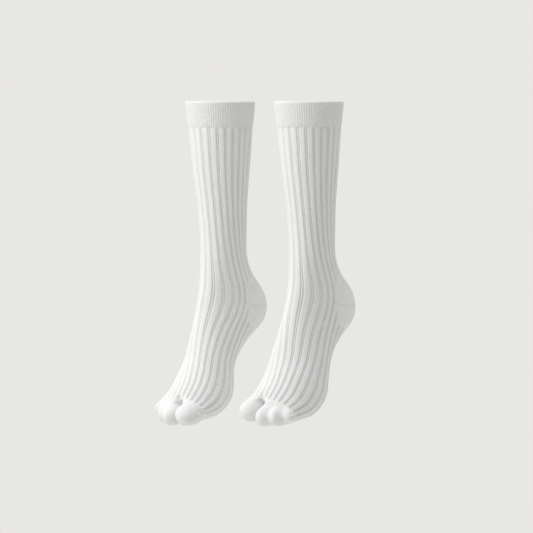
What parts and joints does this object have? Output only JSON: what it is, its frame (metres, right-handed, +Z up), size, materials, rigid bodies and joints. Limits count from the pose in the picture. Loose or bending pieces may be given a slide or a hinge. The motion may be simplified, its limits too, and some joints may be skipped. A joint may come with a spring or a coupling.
{
  "type": "pair of tabi socks",
  "caption": "Pair of white ribbed tabi socks, hollow and filled out as worn with toes pointed down: plain cuff, wide-rib leg and foot, heel pocket, split big toe.",
  "frame": {"origin": "midway between the two cuff mouths, level with their rims, where the wearer's legs hold the pair up", "axes": "+Z up along the legs, -Y the way the wearer faces and the toes point, +X to the wearer's left"},
  "size_m": [0.2454, 0.1877, 0.422],
  "materials": {
    "cuff_rib": "off-white fine one-by-one rib knit, matt cotton",
    "wide_rib": "off-white wide rib knit, matt cotton",
    "plain_knit": "off-white plain knit, matt cotton, slightly fuzzy"
  },
  "bodies": {
    "root": {"left_cuff": "cuff_rib", "left_leg": "wide_rib", "left_heel": "plain_knit", "left_foot": "wide_rib", "left_big_toe": "plain_knit", "left_small_toes": "plain_knit", "right_cuff": "cuff_rib", "right_leg": "wide_rib", "right_heel": "plain_knit", "right_foot": "wide_rib", "right_big_toe": "plain_knit", "right_small_toes": "plain_knit"}
  },
  "joints": []
}
